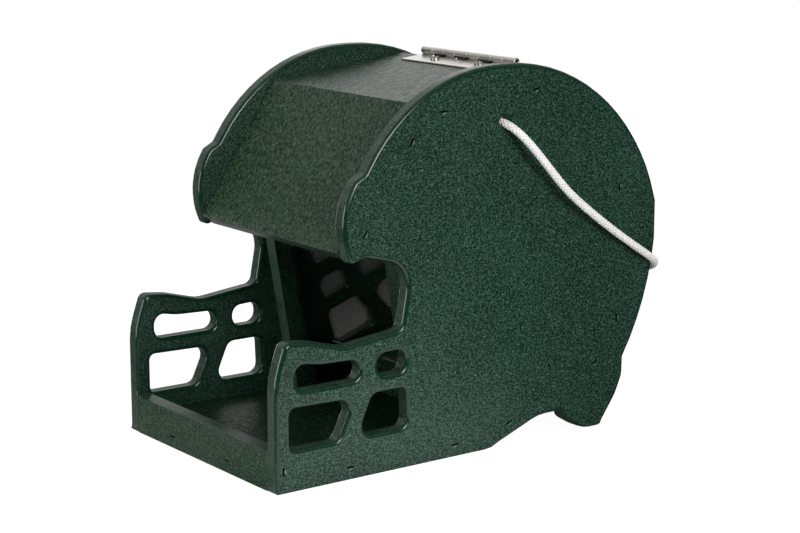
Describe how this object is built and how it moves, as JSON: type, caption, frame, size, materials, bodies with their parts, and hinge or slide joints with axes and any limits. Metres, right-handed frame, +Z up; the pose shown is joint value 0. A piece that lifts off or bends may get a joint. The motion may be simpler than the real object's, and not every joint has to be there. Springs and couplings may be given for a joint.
{
  "type": "gravity feeder",
  "caption": "Helmet-shaped gravity feeder cut from green plastic sheet: hinged lid over a seed hopper, clear window, feeding tray behind a face mask, rope loop to hang it.",
  "frame": {"origin": "middle of the footprint, on the ground", "axes": "+Z up, +Y to the back of the head, +X to the left of the head"},
  "size_m": [0.2462, 0.3846, 0.296],
  "materials": {
    "green_sheet": "pebbled recycled plastic sheet with smooth routed edges",
    "clear_sheet": "clear acrylic",
    "hinge_steel": "stainless",
    "staple_wire": "dulled wire",
    "white_rope": "braided synthetic rope"
  },
  "bodies": {
    "housing": {"left_side_plate": "green_sheet", "right_side_plate": "green_sheet", "tray_lip": "green_sheet", "tray_floor": "green_sheet", "feed_ramp": "green_sheet", "back_panel": "green_sheet", "forehead_panel": "green_sheet", "roof_panel": "green_sheet", "left_window_batten": "green_sheet", "right_window_batten": "green_sheet", "seed_window": "clear_sheet", "roof_hinge_leaf": "hinge_steel", "hinge_pin": "hinge_steel", "roof_hinge_screws": "hinge_steel", "left_plate_staples": "staple_wire", "right_plate_staples": "staple_wire", "lip_staples": "staple_wire", "left_batten_staples": "staple_wire", "right_batten_staples": "staple_wire", "hanging_rope": "white_rope", "left_rope_knot": "white_rope", "right_rope_knot": "white_rope"},
    "lid": {"lid_panel": "green_sheet", "lid_hinge_leaf": "hinge_steel", "lid_hinge_screws": "hinge_steel"}
  },
  "joints": [
    {"name": "lid_hinge", "type": "hinge", "parent": "housing", "child": "lid", "pos_m": [0, 0.077, 0.2906], "axis": [1, 0, 0], "range_deg": [0, 215]}
  ]
}
